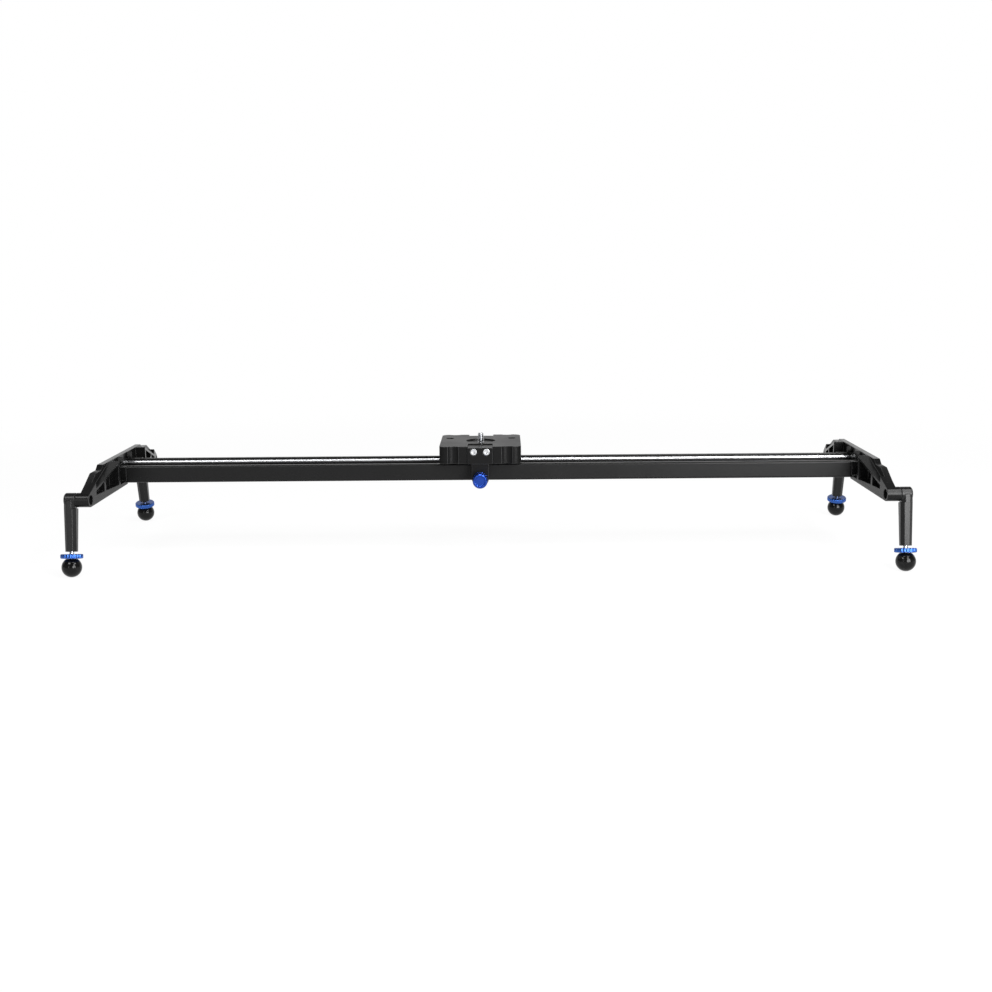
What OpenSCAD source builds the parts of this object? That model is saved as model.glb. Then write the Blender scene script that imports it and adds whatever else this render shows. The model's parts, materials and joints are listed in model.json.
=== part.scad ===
// Camera slider: a channel rail with inlaid track rods, a four-wheel carriage with a side brake,
// and cast end brackets on four folding L-shaped legs with screw-adjusted ball feet.
// Millimetres. +X runs along the rail, the brake knob faces -Y, Z = 0 is the floor under the feet.

/* [Overall] */
// Length across the elbows of the legs
span_x = 800; // [600:10:1000]
// Width of the rail
rail_w = 60; // [58:1:72]
// Height of the rail section
rail_h = 17; // [16:0.5:22]
// Distance of the knee axes from the middle of the rail
knee_y = 127; // [120:1:150]
// Distance from a knee axis to the centre of its ball foot
leg_reach = 63.5; // [61.5:0.1:90]
// Outward lean of the legs from vertical
splay = 11; // [0:1:20]
// Rest position of the carriage along the rail
carriage_x = -8; // [-100:1:100]

/* [Rail] */
// Thickness of the rail's side walls
rail_wall = 6; // [5:0.5:8]
// Thickness of the rail's floor
rail_floor = 6.5; // [6:0.5:8]
// Radius along the rail's outer edges
rail_edge = 2; // [1:0.25:3]
// Diameter of the track rods
rod_d = 4; // [3:0.5:5]
// How far the middle of a rod lies inside the wall
rod_sunk = 0.5; // [0:0.1:1]
// Depth of the middle of a rod below the rail's top
rod_drop = 4; // [3.8:0.1:4.5]

/* [Wheels] */
// Radius at the bottom of a wheel's groove
wheel_root = 5.1; // [5:0.1:6]
// Outer radius of a wheel
wheel_r = 6.3; // [6:0.1:6.4]
// Width of a wheel
wheel_w = 6; // [5.5:0.5:7]
// Distance of the wheels from the middle of the carriage, along the rail
wheel_x = 32; // [24:1:33]
// Diameter of the wheel axles
axle_d = 4; // [3:0.5:4]

/* [Carriage] */
// Length of the carriage plate along the rail
plate_l = 82; // [80:1:110]
// Width of the carriage plate across the rail
plate_w = 92; // [88:1:110]
// Thickness of the carriage plate
plate_h = 17.4; // [15:0.2:22]
// Gap between the rail's top and the carriage plate
plate_gap = 2.2; // [1.5:0.1:4]
// Corner radius of the carriage plate
plate_corner = 7; // [4:0.5:9]
// Diameter of the camera stud, a quarter inch
stud_d = 6.35; // [6.35, 9.525]
// Height of the camera stud above the plate
stud_up = 8; // [5:0.5:12]

/* [Brake] */
// Width of the brake block
block_w = 25; // [22:1:28]
// Width of the tongue that carries the brake knob
tongue_w = 17; // [14:1:20]
// Diameter of the brake knob
knob_d = 14.8; // [12:0.2:18]
// Length of the brake knob
knob_l = 17; // [12:0.5:24]
// Depth of the knob's axis below the rail's top
knob_drop = 12.5; // [10:0.5:12.5]
// Gap between the brake pad and the rail when the brake is off
pad_gap = 0.3; // [0.3:0.1:0.6]

/* [End brackets] */
// Thickness of a bracket's end wall
wall_t = 6; // [5.5:0.5:8]
// Depth of a bracket along the rail
bracket_d = 18; // [16:1:24]
// Thickness of a bracket's flanges and ribs
flange_t = 4; // [3:0.5:5]
// Height of a bracket's plateau above the rail's top
plateau_rise = 8.5; // [7:0.5:11]
// Downward angle of the arms' outer ends
arm_a = 25; // [20:1:28]
// Radius of the knee bosses and the legs' hubs
boss_r = 6.85; // [6.5:0.05:7.5]

/* [Legs] */
// Width of a leg's hub along the rail
hub_w = 10.5; // [9:0.5:12]
// Length of a leg from its knee axis to its lower end
leg_len = 48.8; // [46:0.1:49]
// Diameter of the knee bolts and the foot stems
bolt_d = 5; // [4:0.5:5]
// Diameter of the ball feet
ball_d = 19; // [18:0.5:22]
// Diameter of the thumb rings above the ball feet
ring_d = 21; // [18:0.5:22]
// Height of the thumb rings
ring_h = 4.3; // [3.5:0.1:4.5]

/* [Hidden] */
$fn = 64;
e = 0.5;               // how far a cut runs past a face
fit = 0.05;            // radial clearance of pins, screws and bores
seat = 0.1;            // clearance between seated flat faces
run = 0.3;             // clearance between pieces that move past each other

// Stack of pieces from the elbow inwards
x_elbow = span_x / 2;
x_hub = x_elbow - hub_w;
washer_t = 0.6;
x_washer = x_hub - seat - washer_t;
boss_proud = 4.8;
x_wall = x_washer - boss_proud;
x_rail = x_wall - wall_t;
x_in = x_wall - bracket_d;
foot_x = x_elbow - 6.3;

// Heights
ball_r = ball_d / 2;
knee_z = ball_r + leg_reach * cos(splay);
rail_z = knee_z;
rail_top = rail_z + rail_h;
rod_z = rail_top - rod_drop;
plate_z = rail_top + plate_gap;
plate_top = plate_z + plate_h;
plateau_z = rail_top + plateau_rise;

// Rods and wheels
rod_r = rod_d / 2;
wall_y = rail_w / 2 - rail_wall;
rod_y = wall_y + rod_sunk;
groove_r = rod_r + 0.15;
wheel_y = rod_y - rod_r - fit - wheel_root;
axle_r = axle_d / 2;
race_r = wheel_root - 2;
wheel_z = rod_z - wheel_w / 2;
race_gap = 0.08;
nut_h = 2.7;
head_h = 4;
head_r = 3.5;
head_sink = 1;         // how far the rear axles' heads lie below the plate's top

// Bracket outline: breaks along an arm, measured from the middle of the rail
cheek_y = rail_w / 2 + seat + flange_t;
post_y = max(knee_y - 77, plate_w / 2 + 4);
plateau_y = knee_y - 55;
shoulder_y = knee_y - 48;
slope_y = knee_y - 29;
rib_y = knee_y - 35;
block_y = knee_y - 14.5;
rim_t = 2.6;           // thickness of the rim over an arm's pockets
pocket_z = rail_z + 2.5;
arm_low = rail_z - 1;
knee_in = 10;          // how far the arm's inner face steps back at the knee

bumper_h = 4;
bumper_r = 3.4;
bumper_y = 18;
bumper_z = rail_top + plateau_rise / 2 + 0.5;

// Bracket screws, as [y, height above the rail's underside]
end_screws = [
    for (s = [-1, 1], p = [[rail_w / 2 - rail_wall / 2 - 0.3, 5], [6, rail_floor / 2]]) [s * p[0], p[1]]
];
screw_r = 2;
screw_grip = 10;
screw_head_h = 3;
screw_sink = 3.1;

// Brake
block_back = 22;       // depth of the block's slot in the plate
block_proud = 2;
block_sink = 1.2;
tongue_t = 10;
tongue_step = 1;       // how far the tongue stands back from the block's front
pad_t = 4;
pad_travel = 1.4;      // how far the pad draws back from its rest place
pad_front = rail_w / 2 + pad_gap;
block_front = max(plate_w / 2 + block_proud,
    pad_front + pad_t + pad_travel + 1 + tongue_t + tongue_step);
tongue_front = block_front - tongue_step;
knob_z = rail_top - knob_drop;
knob_gap = 1.2;
knob_front = tongue_front + knob_gap + knob_l;
knob_bore = 8;
pad_r = 4.5;
brake_r = 2.5;
block_screw_x = 6.4;
block_screw_z = plate_top - 5.2;
block_head_r = 3.2;
block_head_h = 3.2;
block_head_in = 3;     // depth of the pockets round the block's screw heads
slot_back = 12;        // depth of the twin slot at the back

// Feet, measured along a leg from its knee axis
ring_s = leg_len + 2.2;
neck_s = ring_s + ring_h + run;
stem_top = 30;
knee_recess = 5;       // depth of the holes round the knee bolts' heads
elbow_skin = 2.5;      // metal left outside a knee bolt's hole
knee_head_r = 4.25;
knee_head_h = 2.6;

// Camera plate details
shoulder_r = stud_d / 2 + 0.4;
stud_head_h = 6;
stud_head_r = shoulder_r + 2;
recess_r = 15;
recess_h = 1.6;
scallop_r = 7;
scallop_in = 2.5;
scallop_x = 27;

// Tripod threads in the rail's underside
thread_big_r = 3.97;
thread_small_r = 2.55;
thread_x = 45;

sides = [-1, 1];

// ---------- shared shapes ----------

// A cylinder along +X from x = 0
module rod_x(r, l) {
    rotate([0, 90, 0]) cylinder(r = r, h = l);
}

// A cylinder along +Y from y = 0
module rod_y(r, l) {
    rotate([-90, 0, 0]) cylinder(r = r, h = l);
}

// A hexagonal socket cut, as wide across its flats as af, along +Z
module hex_cut(af, l) {
    cylinder(r = af / 2 / cos(30), h = l, $fn = 6);
}

// A socket head screw, standing on its head's underside at z = 0, with its shank along -Z
module socket_screw(shank_r, l, r, h) {
    difference() {
        union() {
            translate([0, 0, -l]) cylinder(r = shank_r, h = l + e);
            cylinder(r = r, h = h);
        }
        translate([0, 0, h * 0.4]) hex_cut(r * 0.95, h);
    }
}

// Places something at one corner's knee, hanging along -Z and leaning out by the splay
module at_knee(sx, sy) {
    mirror([sx < 0 ? 1 : 0, 0, 0])
        mirror([0, sy < 0 ? 1 : 0, 0])
            translate([0, knee_y, knee_z])
                rotate([splay, 0, 0]) children();
}

// Straight flutes round a turned piece along +Z
module flutes(r, count, cut_r, h) {
    for (i = [0 : count - 1])
        rotate([0, 0, i * 360 / count]) translate([r, 0, -e]) cylinder(r = cut_r, h = h + 2 * e, $fn = 16);
}

// ---------- rail ----------

// Cross-section of the rail, with the underside on y = 0
module rail_section() {
    difference() {
        union() {
            translate([-rail_w / 2, rail_edge]) square([rail_w, rail_h - 2 * rail_edge]);
            translate([-rail_w / 2 + rail_edge, 0]) square([rail_w - 2 * rail_edge, rail_h]);
            for (s = sides, y = [rail_edge, rail_h - rail_edge])
                translate([s * (rail_w / 2 - rail_edge), y]) circle(r = rail_edge);
        }
        translate([-wall_y, rail_floor]) square([2 * wall_y, rail_h]);
        for (s = sides) translate([s * rod_y, rod_z - rail_z]) circle(r = rod_r + fit);
        // the floor's hollow chambers, either side of the middle rib
        for (s = sides) rail_chamber(s);
    }
}

module rail_chamber(s) {
    skin = 1.7;            // floor left above and below a chamber
    chamber_h = rail_floor - 2 * skin;
    y_in = 10;
    y_out = wall_y - 2;
    for (y = [y_in + chamber_h / 2, y_out - chamber_h / 2])
        translate([s * y, rail_floor / 2]) circle(r = chamber_h / 2);
    translate([s * (y_in + y_out) / 2, rail_floor / 2])
        square([y_out - y_in - chamber_h, chamber_h], center = true);
}

module rail() {
    color([0.07, 0.07, 0.075]) difference() {
        translate([-x_rail, 0, rail_z])
            rotate([90, 0, 90]) linear_extrude(2 * x_rail) rail_section();
        for (s = sides, p = end_screws)
            translate([s > 0 ? x_rail - screw_grip - 1 : -x_rail - e, p[0], rail_z + p[1]])
                rod_x(screw_r + fit, screw_grip + 1 + e);
        // tripod threads through the middle rib
        translate([0, 0, rail_z - e]) cylinder(r = thread_big_r, h = rail_floor + 2 * e);
        for (s = sides)
            translate([s * thread_x, 0, rail_z - e]) cylinder(r = thread_small_r, h = rail_floor + 2 * e);
    }
}

module track_rods() {
    color([0.85, 0.86, 0.88])
        for (s = sides) translate([-x_rail + seat, s * rod_y, rod_z]) rod_x(rod_r, 2 * (x_rail - seat));
}

// ---------- end brackets ----------

// Height of a bracket's upper outline on its sloping end
function slope_z(y) = knee_z + boss_r / cos(arm_a) + (knee_y - y) * tan(arm_a);

// Height of a bracket's lower outline
function low_z(y) = y < cheek_y ? arm_low
    : arm_low - (y - cheek_y) / (knee_y - cheek_y) * (arm_low - knee_z + boss_r);

// Height of a bracket's upper outline
function top_z(y) = y <= plateau_y ? plateau_z
    : y >= slope_y ? slope_z(y)
    : max(slope_z(slope_y), plateau_z
        - (y - plateau_y) / (shoulder_y - plateau_y) * (plateau_z - slope_z(slope_y)));

// Height of the arm's inner rim, which falls straight from the post to the knee boss
function rim_z(y) = y <= post_y ? plateau_z
    : plateau_z - (y - post_y) / (knee_y - post_y) * (plateau_z - knee_z - boss_r + 2);

// End view of half a bracket, from the middle of the rail to the knee
module arm_outline(y_start) {
    polygon([
        [y_start, low_z(y_start)], [cheek_y, low_z(cheek_y)], [knee_y, knee_z - boss_r],
        [knee_y + boss_r * sin(arm_a), knee_z + boss_r * cos(arm_a)],
        [slope_y, slope_z(slope_y)], [shoulder_y, slope_z(slope_y)],
        [plateau_y, plateau_z], [y_start, plateau_z]
    ]);
    translate([knee_y, knee_z]) circle(r = boss_r);
}

// A pocket between two ribs, with a level floor and a roof that follows the rim
module pocket(y1, y2) {
    polygon([[y1, pocket_z], [y2, pocket_z], [y2, rim_z(y2) - rim_t], [y1, rim_z(y1) - rim_t]]);
}

// End view of the ribs and flanges that stand on the end wall
module arm_ribs() {
    difference() {
        arm_outline(rail_w / 2 + seat);
        // above the rim, from the post to the solid block at the knee
        polygon([
            [post_y, plateau_z], [block_y, rim_z(block_y)], [block_y, plateau_z + e], [post_y, plateau_z + e]
        ]);
        // open top beside the rail, down to the cheek and the lower flange
        translate([0, rail_top]) square([cheek_y + e, plateau_rise + e]);
        polygon([
            [cheek_y, low_z(cheek_y) + flange_t], [post_y, low_z(post_y) + flange_t],
            [post_y, plateau_z + e], [cheek_y, plateau_z + e]
        ]);
        pocket(post_y + flange_t, rib_y - flange_t);
        pocket(rib_y, block_y);
    }
}

// Plan view of an arm's depth, which tapers towards the knee
module arm_plan() {
    polygon([
        [x_in, 0], [x_in, cheek_y], [x_in + knee_in, knee_y + boss_r + e],
        [x_wall + e, knee_y + boss_r + e], [x_wall + e, 0]
    ]);
}

// A 2D end view in (y, z), made solid from x1 to x2
module end_view(x1, x2) {
    translate([x1, 0, 0]) rotate([90, 0, 90]) linear_extrude(x2 - x1) children();
}

module bracket_half() {
    end_view(x_rail, x_wall) arm_outline(0);
    intersection() {
        end_view(x_in, x_rail + e) arm_ribs();
        translate([0, 0, rail_z - 2 * boss_r]) linear_extrude(plateau_z) arm_plan();
    }
    translate([x_in + knee_in, knee_y, knee_z]) rod_x(boss_r, x_washer - x_in - knee_in);
}

module bracket() {
    difference() {
        union() {
            bracket_half();
            mirror([0, 1, 0]) bracket_half();
        }
        for (p = end_screws) translate([0, p[0], rail_z + p[1]]) {
            translate([x_rail - e, 0, 0]) rod_x(screw_r + fit, wall_t + 2 * e);
            translate([x_wall - screw_sink - seat, 0, 0]) rod_x(head_r + run, screw_sink + seat + e);
        }
        for (s = sides) translate([0, s * knee_y, knee_z]) {
            translate([x_in, 0, 0]) rod_x(bolt_d / 2 + fit, bracket_d + boss_proud + e);
            translate([x_in, 0, 0]) rod_x(knee_head_r + run, knee_in + knee_recess);
        }
    }
}

module bracket_left() {
    color([0.08, 0.08, 0.085]) mirror([1, 0, 0]) bracket();
}

module bracket_right() {
    color([0.08, 0.08, 0.085]) bracket();
}

module bracket_screws(s) {
    color([0.2, 0.2, 0.21]) for (p = end_screws)
        mirror([s < 0 ? 1 : 0, 0, 0]) translate([x_wall - screw_sink, p[0], rail_z + p[1]])
            rotate([0, 90, 0]) socket_screw(screw_r, screw_grip + wall_t - screw_sink, head_r, screw_head_h);
}

module bracket_screws_left() { bracket_screws(-1); }
module bracket_screws_right() { bracket_screws(1); }

// Rubber buttons on the end walls, which stop the carriage
module end_bumpers() {
    color([0.05, 0.05, 0.05]) for (sx = sides, sy = sides)
        mirror([sx < 0 ? 1 : 0, 0, 0])
            translate([x_rail - bumper_h, sy * bumper_y, bumper_z]) rod_x(bumper_r, bumper_h);
}

module knee_washers() {
    color([0.75, 0.75, 0.76]) for (sx = sides, sy = sides)
        mirror([sx < 0 ? 1 : 0, 0, 0]) translate([x_washer, sy * knee_y, knee_z]) difference() {
            rod_x(boss_r - 0.6, washer_t);
            translate([-e, 0, 0]) rod_x(bolt_d / 2 + fit, washer_t + 2 * e);
        }
}

// ---------- carriage ----------

module plate_outline() {
    l = plate_l / 2 - plate_corner;
    w = plate_w / 2 - plate_corner;
    difference() {
        union() {
            square([2 * l, plate_w], center = true);
            square([plate_l, 2 * w], center = true);
            for (sx = sides, sy = sides) translate([sx * l, sy * w]) circle(r = plate_corner);
        }
        for (sx = sides, sy = sides)
            translate([sx * scallop_x, sy * (plate_w / 2 + scallop_r - scallop_in)]) circle(r = scallop_r);
    }
}

module carriage_plate() {
    color([0.1, 0.1, 0.105]) translate([carriage_x, 0, 0]) difference() {
        translate([0, 0, plate_z]) linear_extrude(plate_h) plate_outline();
        // round recess and bore for the camera stud, with its head's counterbore underneath
        translate([0, 0, plate_top - recess_h]) cylinder(r = recess_r, h = recess_h + e);
        translate([0, 0, plate_z - e]) cylinder(r = shoulder_r + fit, h = plate_h + 2 * e);
        translate([0, 0, plate_z - e]) cylinder(r = stud_head_r + 0.4, h = stud_head_h + e);
        // slot for the brake block, and its twin at the back that only marks the top
        translate([-block_w / 2 - seat, -plate_w / 2 - e, plate_z - e])
            cube([block_w + 2 * seat, block_back + e, plate_h + 2 * e]);
        translate([-block_w / 2 - seat, plate_w / 2 - slot_back, plate_top - block_sink])
            cube([block_w + 2 * seat, slot_back + e, block_sink + e]);
        for (s = sides) {
            // tapped holes for the block's screws
            translate([s * block_screw_x, -plate_w / 2 + block_back - e, block_screw_z])
                rod_y(screw_r + fit, screw_grip + 2);
            // rear axles pass through, front axles end blind
            translate([s * wheel_x, wheel_y, plate_z - e]) cylinder(r = axle_r + fit, h = plate_h + 2 * e);
            translate([s * wheel_x, wheel_y, plate_top - head_h - head_sink])
                cylinder(r = head_r + 0.7, h = head_h + head_sink + e);
            translate([s * wheel_x, -wheel_y, plate_z - e]) cylinder(r = axle_r + fit, h = screw_grip + 1);
        }
    }
}

// Captive screw: its head and plain shoulder sit in the plate, and its free end stands up
module camera_stud() {
    r = stud_d / 2;
    tip = 0.8;
    foot = 0.4;        // how far the head lies above the plate's underside
    color([0.8, 0.8, 0.82]) translate([carriage_x, 0, 0]) difference() {
        union() {
            translate([0, 0, plate_z + foot]) cylinder(r = stud_head_r, h = stud_head_h - seat - foot);
            translate([0, 0, plate_z + foot]) cylinder(r = shoulder_r, h = plate_h - recess_h - foot);
            translate([0, 0, plate_z + foot]) cylinder(r = r, h = plate_h + stud_up - tip - foot);
            translate([0, 0, plate_top + stud_up - tip]) cylinder(r1 = r, r2 = r - tip, h = tip);
        }
        translate([0, 0, plate_z - e]) hex_cut(5, 3.5);
    }
}

module brake_block() {
    color([0.1, 0.1, 0.105]) translate([carriage_x, 0, 0]) difference() {
        union() {
            translate([-block_w / 2, -block_front, plate_z])
                cube([block_w, block_front - plate_w / 2 + block_back - seat, plate_h - block_sink]);
            translate([-tongue_w / 2, -tongue_front, knob_z])
                cube([tongue_w, tongue_t, plate_z - knob_z + e]);
            translate([0, -tongue_front, knob_z]) rod_y(tongue_w / 2, tongue_t);
        }
        translate([0, -tongue_front - e, knob_z]) rod_y(brake_r + fit, tongue_t + 2 * e);
        for (s = sides) translate([s * block_screw_x, -block_front - e, block_screw_z]) {
            rod_y(screw_r + fit, block_front + e);
            rod_y(block_head_r + 0.5, block_head_in + e);
        }
    }
}

module brake_block_screws() {
    color([0.82, 0.82, 0.84]) for (s = sides)
        translate([carriage_x + s * block_screw_x, -block_front + block_head_in, block_screw_z])
            rotate([90, 0, 0])
                socket_screw(screw_r, block_front - plate_w / 2 + block_back + screw_grip - 3.5,
                    block_head_r, block_head_h);
}

// Places something at the four wheels' axes, at the height z
module at_wheels(z, rows = sides) {
    for (sx = sides, sy = rows) translate([carriage_x + sx * wheel_x, sy * wheel_y, z]) children();
}

module axle_bolts_front() {
    l = plate_z - wheel_z + screw_grip;
    color([0.75, 0.75, 0.77]) at_wheels(wheel_z, [-1])
        mirror([0, 0, 1]) socket_screw(axle_r, l, head_r, nut_h);
}

module axle_bolts_rear() {
    z = plate_top - head_h - head_sink;
    color([0.3, 0.3, 0.31]) at_wheels(z, [1])
        socket_screw(axle_r, z - wheel_z + nut_h - seat, head_r, head_h);
}

module axle_nuts() {
    color([0.75, 0.75, 0.77]) at_wheels(wheel_z - nut_h, [1]) difference() {
        hex_cut(7, nut_h);
        translate([0, 0, -e]) cylinder(r = axle_r + fit, h = nut_h + 2 * e);
    }
}

module wheel_spacers() {
    z = wheel_z + wheel_w;
    color([0.6, 0.6, 0.62]) at_wheels(z) difference() {
        cylinder(r = race_r, h = plate_z - z);
        translate([0, 0, -e]) cylinder(r = axle_r + fit, h = plate_z - z + 2 * e);
    }
}

module bearing_inner_rings() {
    color([0.8, 0.8, 0.82]) at_wheels(wheel_z) difference() {
        cylinder(r = race_r, h = wheel_w);
        translate([0, 0, -e]) cylinder(r = axle_r + fit, h = wheel_w + 2 * e);
    }
}

// A grooved wheel, turned in one revolve about its axle
module wheel(sx, sy) {
    color([0.8, 0.8, 0.82]) translate([carriage_x + sx * wheel_x, sy * wheel_y, rod_z])
        rotate_extrude() difference() {
            translate([race_r + race_gap, -wheel_w / 2 + seat])
                square([wheel_r - race_r - race_gap, wheel_w - 2 * seat]);
            translate([wheel_root + groove_r, 0]) circle(r = groove_r);
        }
}

module wheel_front_left() { wheel(-1, -1); }
module wheel_front_right() { wheel(1, -1); }
module wheel_rear_left() { wheel(-1, 1); }
module wheel_rear_right() { wheel(1, 1); }

// ---------- brake ----------

module brake_pad() {
    color([0.15, 0.15, 0.15]) translate([carriage_x, -pad_front - pad_t, knob_z]) difference() {
        rod_y(pad_r, pad_t);
        translate([0, -e, 0]) rod_y(brake_r + fit, pad_t / 2 + e);
    }
}

module brake_screw() {
    l = tongue_front + knob_gap + knob_bore - pad_front - pad_t / 2;
    color([0.75, 0.75, 0.77])
        translate([carriage_x, -tongue_front - knob_gap - knob_bore, knob_z]) rod_y(brake_r, l - seat);
}

// Turned knob: a dished front with a rounded rim, a fluted grip and a grooved collar at the back
module brake_knob() {
    r = knob_d / 2;
    rim = 1.2;
    dish_r = r - 2.8;
    dish = 0.8;
    collar = 3.6;          // length of the plain part behind the flutes
    groove = 0.8;
    flute_r = 0.95;
    flute_in = 2.2;        // where the flutes start, behind the front
    color([0.09, 0.25, 0.72]) translate([carriage_x, -knob_front, knob_z]) rotate([-90, 0, 0]) difference() {
        rotate_extrude() polygon([
            [0, dish], [dish_r, dish], [dish_r + dish / 2, 0], [r - rim, 0], [r, rim], [r, knob_l - collar],
            [r - groove, knob_l - collar + 0.6], [r - groove, knob_l - collar + 1.2],
            [r - 0.2, knob_l - collar + 1.8], [r - 0.2, knob_l - 0.5], [r - 0.7, knob_l], [0, knob_l]
        ]);
        translate([0, 0, knob_l - knob_bore - e]) cylinder(r = brake_r + fit, h = knob_bore + 2 * e);
        translate([0, 0, flute_in + e])
            flutes(r + flute_r / 2, 20, flute_r, knob_l - flute_in - collar - 4 * e);
    }
}

// ---------- legs and feet ----------

// Chamfered section of a leg from x1 to x2, as deep as d, with the corners cut by c
module leg_section(x1, x2, d, c) {
    polygon([
        [x1 + c, -d / 2], [x2 - c, -d / 2], [x2, -d / 2 + c], [x2, d / 2 - c],
        [x2 - c, d / 2], [x1 + c, d / 2], [x1, d / 2 - c], [x1, -d / 2 + c]
    ]);
}

// L-shaped leg: a hub that turns on the knee bolt, and a shank as deep as the hub that tapers to the foot
module leg(sx, sy) {
    top_s = boss_r + 1;    // where the shank, clear of the bracket's boss, becomes wider than the hub
    slice = 0.2;
    rim = 1.4;             // chamfer round the hub's outer end
    swell = 1.1;           // how far the shank passes the hub, inwards
    cut = 3;               // chamfer along the shank's corners
    end_w = 10.8;          // width and depth of the shank's lower end
    color([0.09, 0.09, 0.095]) at_knee(sx, sy) difference() {
        union() {
            translate([x_hub, 0, 0]) rod_x(boss_r, hub_w - rim);
            translate([x_elbow - rim, 0, 0]) rotate([0, 90, 0])
                cylinder(r1 = boss_r, r2 = boss_r - rim, h = rim);
            translate([0, 0, -top_s - slice])
                linear_extrude(top_s) leg_section(x_hub, x_elbow, 2 * boss_r, cut);
            hull() {
                translate([0, 0, -top_s - slice])
                    linear_extrude(slice) leg_section(x_hub - swell, x_elbow, 2 * boss_r, cut);
                translate([0, 0, -leg_len])
                    linear_extrude(slice) leg_section(foot_x - end_w / 2, foot_x + end_w / 2, end_w, cut);
            }
        }
        translate([x_hub - e, 0, 0]) rod_x(bolt_d / 2 + fit, hub_w - elbow_skin + e);
        translate([foot_x, 0, -leg_len - e]) cylinder(r = bolt_d / 2 + fit, h = leg_len - stem_top + 1);
    }
}

module knee_bolt(sx, sy) {
    head = x_in + knee_in + knee_recess;
    color([0.3, 0.3, 0.31]) at_knee(sx, sy) translate([head - seat, 0, 0]) rotate([0, -90, 0])
        socket_screw(bolt_d / 2, x_elbow - elbow_skin - e - head, knee_head_r, knee_head_h);
}

module foot_stem(sx, sy) {
    color([0.8, 0.8, 0.82]) at_knee(sx, sy)
        translate([foot_x, 0, -leg_reach]) cylinder(r = bolt_d / 2, h = leg_reach - stem_top - 1);
}

module thumb_ring(sx, sy) {
    r = ring_d / 2;
    bore = bolt_d / 2 + 2 * fit;
    cut = 0.7;             // chamfer round both rims
    flute_r = 1.1;
    color([0.12, 0.33, 0.8]) at_knee(sx, sy) translate([foot_x, 0, -ring_s - ring_h]) difference() {
        rotate_extrude() polygon([
            [bore, 0], [r - cut, 0], [r, cut], [r, ring_h - cut], [r - cut, ring_h], [bore, ring_h]
        ]);
        flutes(r + flute_r / 2, 24, flute_r, ring_h);
    }
}

module foot_ball(sx, sy) {
    color([0.04, 0.04, 0.04]) at_knee(sx, sy) translate([foot_x, 0, -leg_reach]) difference() {
        sphere(r = ball_r);
        translate([-ball_r, -ball_r, leg_reach - neck_s]) cube(2 * ball_r);
        cylinder(r = bolt_d / 2 + fit, h = ball_r);
    }
}

module leg_front_left() { leg(-1, -1); }
module leg_front_right() { leg(1, -1); }
module leg_rear_left() { leg(-1, 1); }
module leg_rear_right() { leg(1, 1); }
module knee_bolt_front_left() { knee_bolt(-1, -1); }
module knee_bolt_front_right() { knee_bolt(1, -1); }
module knee_bolt_rear_left() { knee_bolt(-1, 1); }
module knee_bolt_rear_right() { knee_bolt(1, 1); }
module foot_stem_front_left() { foot_stem(-1, -1); }
module foot_stem_front_right() { foot_stem(1, -1); }
module foot_stem_rear_left() { foot_stem(-1, 1); }
module foot_stem_rear_right() { foot_stem(1, 1); }
module thumb_ring_front_left() { thumb_ring(-1, -1); }
module thumb_ring_front_right() { thumb_ring(1, -1); }
module thumb_ring_rear_left() { thumb_ring(-1, 1); }
module thumb_ring_rear_right() { thumb_ring(1, 1); }
module foot_ball_front_left() { foot_ball(-1, -1); }
module foot_ball_front_right() { foot_ball(1, -1); }
module foot_ball_rear_left() { foot_ball(-1, 1); }
module foot_ball_rear_right() { foot_ball(1, 1); }

rail();
track_rods();
bracket_left();
bracket_right();
bracket_screws_left();
bracket_screws_right();
end_bumpers();
knee_washers();
carriage_plate();
camera_stud();
brake_block();
brake_block_screws();
axle_bolts_front();
axle_bolts_rear();
axle_nuts();
wheel_spacers();
bearing_inner_rings();
wheel_front_left();
wheel_front_right();
wheel_rear_left();
wheel_rear_right();
brake_pad();
brake_knob();
brake_screw();
leg_front_left();
leg_front_right();
leg_rear_left();
leg_rear_right();
knee_bolt_front_left();
knee_bolt_front_right();
knee_bolt_rear_left();
knee_bolt_rear_right();
foot_stem_front_left();
foot_stem_front_right();
foot_stem_rear_left();
foot_stem_rear_right();
thumb_ring_front_left();
thumb_ring_front_right();
thumb_ring_rear_left();
thumb_ring_rear_right();
foot_ball_front_left();
foot_ball_front_right();
foot_ball_rear_left();
foot_ball_rear_right();
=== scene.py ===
# A tabletop camera slider: a black channel rail between two cast end brackets on four folding legs, with
# steel track rods, a wheeled carriage that carries a camera stud, a blue side brake and blue foot rings.
import json
import math

import bmesh
import bpy
from mathutils import Matrix, Vector


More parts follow.
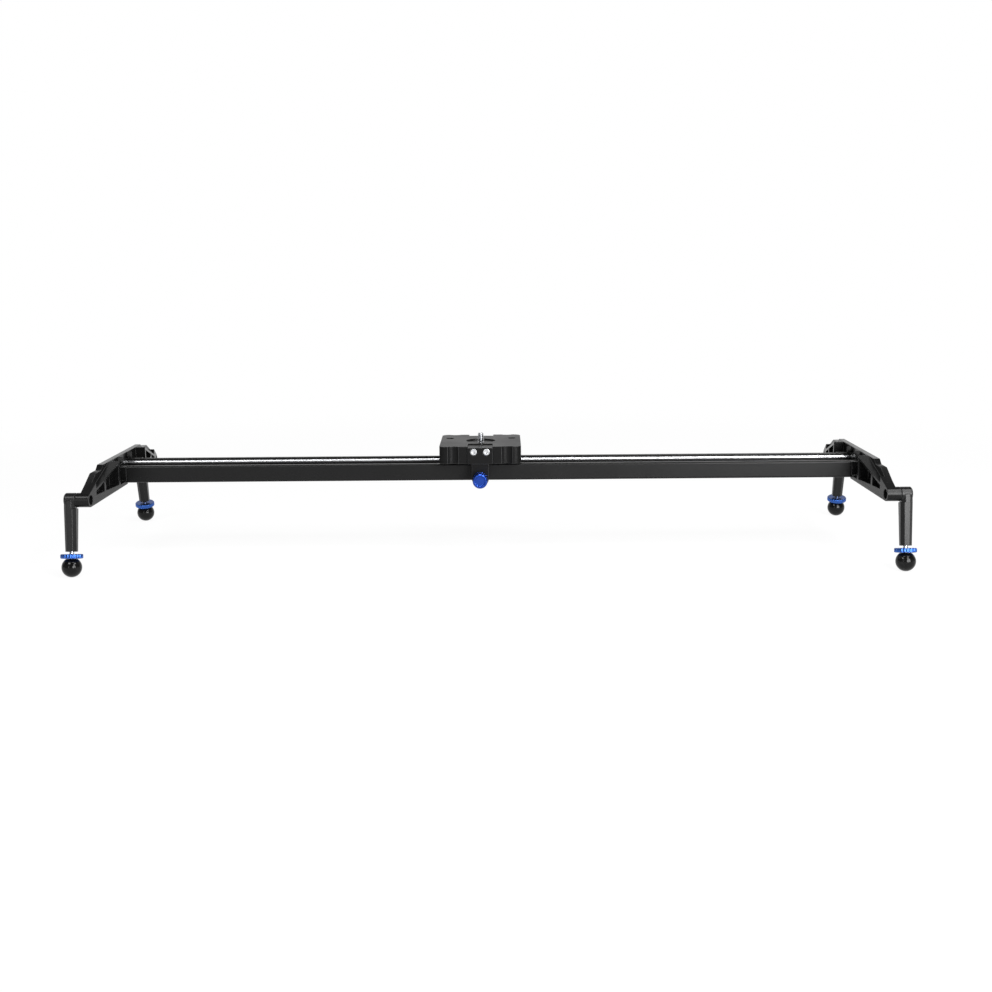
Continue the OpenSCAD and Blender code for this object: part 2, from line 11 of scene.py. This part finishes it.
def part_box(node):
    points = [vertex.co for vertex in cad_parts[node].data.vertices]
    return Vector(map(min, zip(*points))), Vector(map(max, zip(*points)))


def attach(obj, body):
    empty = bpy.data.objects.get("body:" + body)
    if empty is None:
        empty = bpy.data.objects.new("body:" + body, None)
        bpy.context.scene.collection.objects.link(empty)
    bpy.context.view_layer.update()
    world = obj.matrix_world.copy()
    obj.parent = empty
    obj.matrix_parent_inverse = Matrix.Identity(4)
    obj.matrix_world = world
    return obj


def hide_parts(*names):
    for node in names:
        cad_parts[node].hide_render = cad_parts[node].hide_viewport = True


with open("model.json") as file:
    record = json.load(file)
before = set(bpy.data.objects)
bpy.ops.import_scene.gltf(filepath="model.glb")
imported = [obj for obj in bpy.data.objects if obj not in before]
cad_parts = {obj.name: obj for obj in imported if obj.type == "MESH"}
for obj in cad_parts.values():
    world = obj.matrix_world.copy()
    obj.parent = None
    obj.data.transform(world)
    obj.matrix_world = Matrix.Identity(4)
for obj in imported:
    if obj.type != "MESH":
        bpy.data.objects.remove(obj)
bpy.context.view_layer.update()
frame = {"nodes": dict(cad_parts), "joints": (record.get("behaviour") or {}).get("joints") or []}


# ---- Rail ----
# The rail is one length of extruded aluminium channel, bead blasted and anodised black. The die leaves
# fine straight lines along it, and its outer edges are rounded by the die as well.

class Wire:
    """An output socket that can be used in sums: each operator adds its own Math node."""

    def __init__(self, shading, socket):
        self.shading = shading
        self.socket = socket

    def math(self, operation, *values):
        return self.shading.node("Math", {"operation": operation}, dict(enumerate(values)))

    def __add__(self, other):
        return self.math("ADD", self, other)

    def __sub__(self, other):
        return self.math("SUBTRACT", self, other)

    def __rsub__(self, other):
        return self.math("SUBTRACT", other, self)

    def __mul__(self, other):
        return self.math("MULTIPLY", self, other)

    __radd__ = __add__
    __rmul__ = __mul__


class Shading:
    """The nodes of a material or of the surround, added one by one."""

    def __init__(self, owner):
        owner.use_nodes = True
        self.tree = owner.node_tree
        self.tree.nodes.clear()

    def node(self, kind, settings=None, values=None, output=0):
        """Adds a node and gives one of its outputs. A ramp's stops are pairs of a place and a level."""
        made = self.tree.nodes.new("ShaderNode" + kind)
        for name, setting in (settings or {}).items():
            if name == "stops":
                for stop, (at, level) in zip(made.color_ramp.elements, setting):
                    stop.position = at
                    stop.color = (*grey(level), 1.0)
            else:
                setattr(made, name, setting)
        for key, value in (values or {}).items():
            if isinstance(value, Wire):
                self.tree.links.new(value.socket, made.inputs[key])
            else:
                made.inputs[key].default_value = value
        return None if output is None else Wire(self, made.outputs[output])

    def vector(self, operation, *values, output=0):
        return self.node("VectorMath", {"operation": operation}, dict(enumerate(values)), output)

    def end(self, kind, shader):
        self.node(kind, values={"Surface": shader}, output=None)


class Finish(Shading):
    """A material in the making, whose patterns are laid out in metres in the object's own frame."""

    def __init__(self, name):
        self.material = bpy.data.materials.new(name)
        super().__init__(self.material)
        self.place = self.node("TexCoord", output="Object")

    def noise(self, waves, stretch=(1.0, 1.0, 1.0), detail=2.0):
        """A cloudy level from 0 to 1, of so many waves a metre along each axis's stretch."""
        where = self.vector("MULTIPLY", self.place, stretch)
        return self.node("TexNoise", values={"Vector": where, "Scale": waves, "Detail": detail})

    def ramp(self, level, low, high):
        """0 where the level is below low, 1 where it is above high, and even between them."""
        return self.node("ValToRGB", {"stops": ((low, 0.0), (high, 1.0))}, {"Fac": level})

    def mix(self, first, second, mask):
        """A colour between two, each given as red, green and blue."""
        colours = {6: (*first, 1.0), 7: (*second, 1.0)}
        return self.node("Mix", {"data_type": "RGBA"}, {0: mask, **colours}, output=2)

    def done(self, colour, roughness, relief, depth, **constants):
        """Ends the material: relief is a height from 0 to 1, and depth is what 1 stands for in metres."""
        values = {"Base Color": colour, "Roughness": roughness}
        values.update({name.replace("_", " "): value for name, value in constants.items()})
        values["Normal"] = self.node("Bump", values={"Height": relief, "Distance": depth})
        self.end("OutputMaterial", self.node("BsdfPrincipled", values=values))
        return self.material


def grey(level, blue=1.0):
    """A grey as red, green and blue, with its blue a little stronger if asked."""
    return level, level, level * blue


def paint(piece, *finishes):
    """Gives a piece its finish, and a second one for its eased edges."""
    piece.data.materials.clear()
    for finish in finishes:
        piece.data.materials.append(finish)


def ease_edges(piece, radius, segments):
    """Rounds a CAD piece's sharp edges, as tumbling or the mould does, and smooths what is left."""
    piece.modifiers.new("weld", "WELD").merge_threshold = 2e-6
    flats = piece.modifiers.new("flats", "DECIMATE")
    flats.decimate_type = "DISSOLVE"
    flats.angle_limit = math.radians(0.4)
    bevel = piece.modifiers.new("edges", "BEVEL")
    bevel.width = radius
    bevel.segments = segments
    bevel.limit_method = "ANGLE"
    bevel.angle_limit = math.radians(32)
    bevel.use_clamp_overlap = False
    bevel.miter_outer = "MITER_ARC"
    bevel.material = len(piece.data.materials) - 1
    weighted = piece.modifiers.new("shading", "WEIGHTED_NORMAL")
    weighted.mode = "FACE_AREA"
    weighted.weight = 60
    weighted.keep_sharp = False


def dress(name, *finishes, edge, segments=2):
    """Gives a CAD piece its finish, and a second one for its edges if there is one, and eases them."""
    piece = frame["nodes"][name]
    paint(piece, *finishes)
    ease_edges(piece, edge, segments)
    return piece


def anodised(name, shade, grain, rough, gloss, wear_and_highlight=0.0):
    """Black anodised aluminium, with a blasted grain and the handling marks of a used tool."""
    finish = Finish(name)
    die_lines = finish.noise(1.0, stretch=(3.0, 3200.0, 3200.0), detail=3.0)
    blast = finish.noise(grain, detail=3.0)
    hands = finish.ramp(finish.noise(24.0, detail=4.0), 0.42, 0.7)
    # On the edge copies this lighter tone is raised further: partly wear, partly a painted highlight along
    # the eased edges.
    light = shade * 1.9 + wear_and_highlight
    colour = finish.mix(grey(shade, blue=1.03), grey(light, blue=1.03), blast)
    return finish.done(colour, rough + blast * 0.08 + hands * 0.06, die_lines * 0.5 + blast, depth=2.5e-6,
                       Specular_IOR_Level=gloss)


rail_black = anodised("rail_black", shade=0.0025, grain=5200.0, rough=0.29, gloss=0.19)
# The edge copy is a lighter black for the rail's rounded edges: partly wear, partly a painted highlight.
rail_edge = anodised("rail_edge", shade=0.006, grain=5200.0, rough=0.2, gloss=0.25, wear_and_highlight=0.004)
rail = dress("rail", rail_black, rail_edge, edge=0.0004)


# ---- Track rods ----
# Two ground steel rods lie in the rail's walls and are what the wheels run on. Grinding leaves faint
# rings round them, and a thin film of oil dulls them in places.

def ground_steel(name, shade, rough):
    """Bright steel with the fine marks that grinding leaves across a bar."""
    finish = Finish(name)
    marks = finish.noise(1.0, stretch=(2600.0, 1.0, 1.0), detail=3.0)
    film = finish.ramp(finish.noise(60.0, detail=3.0), 0.4, 0.75)
    colour = finish.mix(shade, tuple(0.9 * level for level in shade), film)
    return finish.done(colour, rough + marks * 0.04 + film * 0.04, marks, depth=5e-7, Metallic=1.0)


bright_rod = ground_steel("bright_rod", shade=(0.71, 0.72, 0.74), rough=0.34)
rods = dress("track_rods", bright_rod, edge=0.0003)


# ---- End brackets ----
# Each end bracket is one aluminium die casting, powder coated satin black. Its arms are channels with
# cross ribs, thick at the rail and tapering to the round knee bosses, and every edge has the mould's ease.

def powder_coat(name, shade, rough, gloss, wear_and_highlight=0.0):
    """Semi-gloss powder coat: a fine orange peel with a little variation of gloss."""
    finish = Finish(name)
    peel = finish.noise(1500.0, detail=1.0)
    grit = finish.noise(6000.0, detail=2.0)
    dust = finish.ramp(finish.noise(35.0, detail=5.0), 0.45, 0.75)
    # On the edge copies this lighter tone is raised further: partly wear, partly a painted highlight along
    # the eased edges.
    light = shade * 1.6 + wear_and_highlight
    colour = finish.mix(grey(shade, blue=1.02), grey(light, blue=1.02), grit * 0.6 + dust * 0.4)
    return finish.done(colour, rough + dust * 0.07 + grit * 0.05, peel + grit * 0.15, depth=8e-6,
                       Specular_IOR_Level=gloss)


sides = ("left", "right")
cast_black = powder_coat("cast_black", shade=0.0025, rough=0.23, gloss=0.18)
# The edge copy is a lighter black for the brackets' eased edges: partly wear, partly a painted highlight.
cast_edge_wear_and_highlight = powder_coat("cast_edge_wear_and_highlight", shade=0.004, rough=0.24, gloss=0.24, wear_and_highlight=0.003)
for side in sides:
    bracket = dress(f"bracket_{side}", cast_black, cast_edge_wear_and_highlight, edge=0.0005, segments=3)


# ---- Bracket screws, bumpers and knee washers ----
# Black oxide socket screws hold the brackets to the rail's ends. Rubber buttons on the end walls stop the
# carriage, and a black nylon washer lies between each knee boss and its leg.

def oxide_steel(name):
    """Black oxide on steel, rubbed brighter in specks."""
    finish = Finish(name)
    rub = finish.ramp(finish.noise(900.0, detail=4.0), 0.5, 0.8)
    colour = finish.mix((0.012, 0.012, 0.013), (0.05, 0.05, 0.053), rub)
    return finish.done(colour, 0.36 - rub * 0.1, rub, depth=4e-6, Metallic=0.7)


def matt_rubber(name, shade):
    """Black rubber with the dull grain of an etched mould."""
    finish = Finish(name)
    skin = finish.noise(3000.0, detail=4.0)
    colour = finish.mix(grey(shade), grey(shade * 1.8), skin)
    return finish.done(colour, 0.62 + skin * 0.2, skin, depth=1.5e-5, Specular_IOR_Level=0.25)


def nylon(name):
    """Black nylon as it is moulded, a little cloudy."""
    finish = Finish(name)
    cloud = finish.noise(400.0, detail=3.0)
    colour = finish.mix(grey(0.008), grey(0.02), cloud)
    return finish.done(colour, 0.42 + cloud * 0.1, cloud, depth=4e-6, Specular_IOR_Level=0.25)


dark_screw = oxide_steel("dark_screw")
for side in sides:
    screws = dress(f"bracket_screws_{side}", dark_screw, edge=0.00015)
bumpers = dress("end_bumpers", matt_rubber("bumper_rubber", shade=0.006), edge=0.0006, segments=3)
washers = dress("knee_washers", nylon("knee_nylon"), edge=0.0001)


# ---- Carriage plate and brake block ----
# The carriage plate is milled from flat bar with scalloped sides, and the brake block is let into a slot
# in its front. Both are bead blasted and anodised black, and cut edges are broken by hand.

carriage_black = anodised("carriage_black", shade=0.0015, grain=6500.0, rough=0.33, gloss=0.13)
# The edge copy is a lighter black for the broken edges: partly wear, partly a painted highlight.
carriage_edge_wear_and_highlight = anodised("carriage_edge_wear_and_highlight", shade=0.008, grain=6500.0, rough=0.28, gloss=0.2, wear_and_highlight=0.008)
for name in ("carriage_plate", "brake_block"):
    piece = dress(name, carriage_black, carriage_edge_wear_and_highlight, edge=0.00035, segments=3)


# ---- Brake block screws ----
# Two bright zinc plated socket screws, with their heads let into the brake block's front, pull the block
# back into its slot in the carriage plate.

def plated(name, shade, rough):
    """Bright plated or turned metal under a faint bloom."""
    finish = Finish(name)
    bloom = finish.noise(700.0, detail=4.0)
    colour = finish.mix(tuple(0.8 * level for level in shade), shade, bloom)
    return finish.done(colour, rough + bloom * 0.1, bloom, depth=3e-6, Metallic=1.0)


zinc = plated("bright_zinc", shade=(0.72, 0.73, 0.75), rough=0.2)
block_screws = dress("brake_block_screws", zinc, edge=0.0002)


# ---- Wheels, axles and spacers ----
# Four grooved bearings run on the rods, each on its inner ring below a turned aluminium spacer. The front
# axles are socket screws put in from below, and the rear ones come down through the plate into nuts.

wheel_steel = plated("wheel_steel", shade=(0.62, 0.63, 0.65), rough=0.22)
spacer_alloy = plated("spacer_alloy", shade=(0.56, 0.57, 0.58), rough=0.34)
corners = [f"{row}_{side}" for row in ("front", "rear") for side in sides]
for corner in corners:
    wheel = dress(f"wheel_{corner}", wheel_steel, edge=0.0002)
for name, finish, slot in (
    ("bearing_inner_rings", wheel_steel, "bright_steel"),
    ("wheel_spacers", spacer_alloy, "spacer_alloy"),
    ("axle_bolts_front", zinc, "bright_steel"),
    ("axle_nuts", zinc, "bright_steel"),
    ("axle_bolts_rear", dark_screw, "dark_screw"),
):
    piece = dress(name, finish, edge=0.00015)


# ---- Brake pad and knob ----
# A firm rubber pad is pushed against the rail by the brake screw. Its knob is turned from aluminium bar,
# fluted round its rim and anodised blue.

def turned_blue(name, shade, pale):
    """Blue anodised aluminium: clear dyed skin over turned metal."""
    finish = Finish(name)
    skin = finish.noise(2600.0, detail=3.0)
    wash = finish.noise(150.0, detail=2.0)
    colour = finish.mix(shade, pale, skin * 0.5 + wash * 0.3)
    return finish.done(colour, 0.2 + skin * 0.1, skin, depth=4e-6, Metallic=1.0,
                       Coat_Weight=0.35, Coat_Roughness=0.12)


knob_blue = turned_blue("knob_blue", shade=(0.006, 0.036, 0.27), pale=(0.015, 0.075, 0.43))
knob = dress("brake_knob", knob_blue, edge=0.0002)
pad = dress("brake_pad", matt_rubber("brake_lining", shade=0.012), edge=0.0003)


# ---- Camera stud and brake screw ----
# The captive stud is a stainless quarter inch screw of 20 threads an inch, whose head, with a hexagon
# socket, lies in the plate's underside. The brake screw is a stainless M5. Each thread is one helix.

def threaded(name, start, end, radius, pitch, finish, head=(), columns=36):
    """A threaded rod from start to end. The rows of a head, as height, radius and flats, go below it."""
    axis = end - start
    length = axis.length
    turn = Vector((0, 0, 1)).rotation_difference(axis).to_matrix()
    depth = 0.61 * pitch
    core = radius - depth
    tip = core * 0.92
    profile = ((0.0, core), (0.25, core), (0.5625, radius), (0.6875, radius))    # share of a pitch, radius
    per_turn = len(profile)
    mesh = bmesh.new()

    def row(point):
        """One row of points round the axis, where point gives a radius and a height at a share of a turn."""
        made = []
        for j in range(columns):
            r, z = point(j / columns)
            angle = math.tau * j / columns
            made.append(mesh.verts.new(start + turn @ Vector((r * math.cos(angle), r * math.sin(angle), z))))
        return made

    def helix(k):
        """The thread's row k, which climbs a pitch in a turn and draws in to the tip at both ends."""
        step, r = profile[k % per_turn]

        def point(share):
            z = min(max((k // per_turn + step + share) * pitch, 0.0), length)
            return min(r, tip + z, tip + length - z), z
        return point

    def lathe(z, r, flats):
        """A level row, round or with flats, whose radius is measured to the middle of a flat."""
        def point(share):
            flat = math.tau / flats if flats else 1.0
            off = (math.tau * share) % flat - flat / 2
            return (r / math.cos(off) if flats else r), z
        return point

    rings = [row(lathe(*ring)) for ring in head]
    if head:
        rings.append(row(lathe(0.0, tip, 0)))
    for low, high in zip(rings, rings[1:]):
        for j in range(columns):
            mesh.faces.new((low[j], low[j - 1], high[j - 1], high[j]))
    turns = math.ceil(length / pitch)
    rows = [row(helix(k)) for k in range(-per_turn, per_turn * (turns + 1) + 1)]
    for k in range(len(rows) - per_turn - 1):
        for j in range(columns):
            wraps = per_turn if j == columns - 1 else 0
            across = (j + 1) % columns
            mesh.faces.new((rows[k][j], rows[k + wraps][across], rows[k + 1 + wraps][across], rows[k + 1][j]))
    merge = 1e-7
    bmesh.ops.remove_doubles(mesh, verts=mesh.verts, dist=merge)
    bmesh.ops.dissolve_degenerate(mesh, dist=merge, edges=mesh.edges)
    bmesh.ops.holes_fill(mesh, edges=[edge for edge in mesh.edges if edge.is_boundary])
    bmesh.ops.recalc_face_normals(mesh, faces=mesh.faces)
    data = bpy.data.meshes.new(name)
    mesh.to_mesh(data)
    mesh.free()
    piece = bpy.data.objects.new(name, data)
    bpy.context.scene.collection.objects.link(piece)
    paint(piece, finish)
    return piece


stainless = plated("stainless_thread", shade=(0.66, 0.67, 0.69), rough=0.18)
stud_low, stud_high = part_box("camera_stud")
stud_x = (stud_low.x + stud_high.x) / 2
stud_radius = 0.003175
stud_pitch = 0.00127
shoulder_radius = stud_radius + 0.0004
recess_depth = 0.0016
head_height = 0.0055
head_radius = (stud_high.x - stud_low.x) / 2
socket_depth = 0.0031
socket_radius = 0.0025
hexagon = 6
round_row = 0
broken_edge = 0.0003
thread_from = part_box("carriage_plate")[1].z - recess_depth
under = stud_low.z - thread_from
stud = threaded(
    "stud_thread", Vector((stud_x, 0, thread_from)), Vector((stud_x, 0, stud_high.z)),
    stud_radius, stud_pitch, stainless,
    head=(
        (under + socket_depth, socket_radius * 0.98, hexagon),
        (under + socket_depth, socket_radius, hexagon),
        (under + broken_edge, socket_radius, hexagon),
        (under, socket_radius + broken_edge, hexagon),
        (under, head_radius - broken_edge, round_row),
        (under + broken_edge, head_radius, round_row),
        (under + head_height - broken_edge, head_radius, round_row),
        (under + head_height, head_radius - broken_edge, round_row),
        (under + head_height, shoulder_radius, round_row),
        (-broken_edge, shoulder_radius, round_row),
        (0.0, shoulder_radius - broken_edge, round_row),
    ),
)
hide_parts("camera_stud")
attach(stud, "carriage")

m5_radius = 0.0025
m5_pitch = 0.0008
screw_low, screw_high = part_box("brake_screw")
middle = (screw_low + screw_high) / 2
screw = threaded(
    "brake_screw_thread", Vector((middle.x, screw_low.y, middle.z)),
    Vector((middle.x, screw_high.y, middle.z)), m5_radius, m5_pitch, stainless,
)
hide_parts("brake_screw")
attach(screw, "brake_knob")


# ---- Legs and knee bolts ----
# Each leg is an aluminium casting, an elbow whose hub turns on the knee bolt and whose shank tapers to
# the foot. It has the brackets' black coat, a little duller.

leg_black = powder_coat("leg_black", shade=0.0035, rough=0.27, gloss=0.24)
# The edge copy is a lighter black for the legs' eased edges: partly wear, partly a painted highlight.
leg_edge_wear_and_highlight = powder_coat("leg_edge_wear_and_highlight", shade=0.005, rough=0.27, gloss=0.24, wear_and_highlight=0.003)
for corner in corners:
    leg = dress(f"leg_{corner}", leg_black, leg_edge_wear_and_highlight, edge=0.0004, segments=3)
    bolt = dress(f"knee_bolt_{corner}", dark_screw, edge=0.00015)


# ---- Feet ----
# Each foot is a hard rubber ball moulded on a blue anodised thumb ring, and the pair screws up and down
# on a stainless M5 stem that hangs in the leg.

def ball_rubber(name):
    """Hard black rubber straight from a polished mould, scuffed a little where it is handled."""
    finish = Finish(name)
    skin = finish.noise(1800.0, detail=3.0)
    scuff = finish.ramp(finish.noise(260.0, detail=5.0), 0.55, 0.75)
    colour = finish.mix(grey(0.002), (0.008, 0.008, 0.0085), scuff)
    return finish.done(colour, 0.14 + scuff * 0.14, skin, depth=4e-6, Specular_IOR_Level=0.2)


ring_blue = turned_blue("ring_blue", shade=(0.014, 0.065, 0.3), pale=(0.035, 0.13, 0.46))
foot_black = ball_rubber("foot_black")
foot_turns = {joint["child"]: joint for joint in frame["joints"] if joint["name"].endswith("_turn")}
for corner in corners:
    ring = dress(f"thumb_ring_{corner}", ring_blue, edge=0.0002)
    ball = dress(f"foot_ball_{corner}", foot_black, edge=0.0003)
    stem_node = f"foot_stem_{corner}"
    foot_turn = foot_turns[f"foot_{corner}"]
    down = Vector(foot_turn["axis"]).normalized()
    ball_middle = Vector(foot_turn["pos_m"])
    lean = math.hypot(down.x, down.y)
    stem_length = (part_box(stem_node)[1].z - ball_middle.z - m5_radius * lean) / -down.z
    stem = threaded(f"stem_thread_{corner}", ball_middle, ball_middle - down * stem_length,
                    m5_radius, m5_pitch, stainless, columns=24)
    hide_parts(stem_node)
    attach(stem, stem_node)


# ---- Studio ----
# A white floor that keeps a faint shadow and fades into a white surround, soft boxes overhead, high on
# each side and low in front, more of them on the right, and a camera that looks a little down.

white = (1.0, 1.0, 1.0, 1.0)
smooth = {"interpolation_type": "SMOOTHSTEP"}


def studio_floor(name):
    """White where seen or mirrored, with a share of real light so that the shadow stays."""
    finish = Finish(name)
    seen = finish.node("LightPath", output="Is Camera Ray")
    for kind in ("Is Glossy Ray", "Is Transmission Ray"):
        seen = seen + finish.node("LightPath", output=kind)
    distance = finish.vector("LENGTH", finish.place, output="Value")
    fade = finish.node("MapRange", smooth, {
        "Value": distance, "From Min": 0.55, "From Max": 1.3, "To Min": 0.93, "To Max": 1.0})
    lit = finish.node("BsdfDiffuse", values={"Color": (*grey(0.92), 1.0)})
    plain = finish.node("Emission", values={"Color": white, "Strength": 1.0})
    top = finish.node("MixShader", values={0: fade * seen.math("MINIMUM", seen, 1.0), 1: lit, 2: plain})
    below = finish.node("NewGeometry", output="Backfacing")
    clear = finish.node("BsdfTransparent")
    finish.end("OutputMaterial", finish.node("MixShader", values={0: below, 1: top, 2: clear}))
    return finish.material


floor_radius = 6.0
floor_mesh = bpy.data.meshes.new("floor")
disc = bmesh.new()
bmesh.ops.create_circle(disc, cap_ends=True, radius=floor_radius, segments=64)
disc.to_mesh(floor_mesh)
disc.free()
floor = bpy.data.objects.new("floor", floor_mesh)
bpy.context.scene.collection.objects.link(floor)
paint(floor, studio_floor("studio_white"))

# Seen directly the surround is plain white. In reflections it darkens upwards and towards the camera.
world = bpy.data.worlds.new("studio")
bpy.context.scene.world = world
surround = Shading(world)
direct = surround.node("LightPath", output="Is Camera Ray")
mirrored = surround.node("LightPath", output="Is Glossy Ray")
towards = surround.node("TexCoord", output="Generated")
above = surround.node("MapRange", smooth, {
    "Value": surround.node("SeparateXYZ", values={"Vector": towards}, output="Z"),
    "From Min": 0.25, "From Max": 0.7, "To Min": 1.0, "To Max": 0.3})
behind = surround.node("MapRange", smooth, {
    "Value": surround.node("SeparateXYZ", values={"Vector": towards}, output="Y"),
    "From Min": 0.1, "From Max": 0.7, "To Min": 0.3, "To Max": 1.0})
fill = 0.35
strength = direct + mirrored * above * behind + (1.0 - direct - mirrored) * fill
surround.end("OutputWorld", surround.node("Background", values={"Color": white, "Strength": strength}))


def soft_box(name, at, aim, width, height, power):
    """A soft box at a place in metres, turned to its aim, with its power in watts."""
    lamp = bpy.data.lights.new(name, "AREA")
    lamp.shape = "RECTANGLE"
    lamp.size = width
    lamp.size_y = height
    lamp.energy = power
    holder = bpy.data.objects.new(name, lamp)
    holder.location = at
    holder.rotation_euler = (Vector(aim) - Vector(at)).to_track_quat("-Z", "Y").to_euler()
    holder.visible_camera = False
    bpy.context.scene.collection.objects.link(holder)


carriage_aim = (0.0, 0.0, 0.1)
left_knee_aim = (-0.4, -0.1, 0.1)
right_knee_aim = (0.4, -0.1, 0.1)
soft_box("overhead_middle", (0.0, -0.35, 1.25), carriage_aim, width=0.5, height=0.35, power=5.0)
soft_box("overhead_right", (0.75, -0.5, 1.25), right_knee_aim, width=0.5, height=0.4, power=8.0)
soft_box("right_high", (0.7, -1.1, 1.0), right_knee_aim, width=0.45, height=0.5, power=8.0)
soft_box("right_front", (0.62, -1.6, 0.42), (0.3, 0.0, 0.08), width=0.45, height=0.8, power=18.0)
soft_box("right_side", (0.98, -1.2, 0.4), (0.0, 0.0, 0.08), width=0.4, height=0.75, power=13.0)
soft_box("left_high", (-0.72, -0.85, 1.1), left_knee_aim, width=0.5, height=0.4, power=7.5)
soft_box("left_front", (-0.85, -1.55, 0.4), (-0.3, 0.0, 0.08), width=0.3, height=0.7, power=2.0)

bpy.context.scene.view_settings.view_transform = "Standard"

# The focal length is in pixels of a frame 992 pixels wide, and the camera's three turns are in radians.
frame_px = 992
focal_px = 1392.6
camera_at = Vector((0.0151, -1.4225, 0.3028))
camera_pitch = 0.17577
camera_turn = 0.00551
camera_roll = 0.00855
lens = bpy.data.cameras.new("camera")
lens.sensor_width = 36.0
lens.lens = lens.sensor_width * focal_px / frame_px
camera = bpy.data.objects.new("camera", lens)
camera.matrix_world = (
    Matrix.Translation(camera_at)
    @ Matrix.Rotation(camera_turn, 4, "Z")
    @ Matrix.Rotation(math.pi / 2 - camera_pitch, 4, "X")
    @ Matrix.Rotation(-camera_roll, 4, "Z")
)
bpy.context.scene.collection.objects.link(camera)
bpy.context.scene.camera = camera
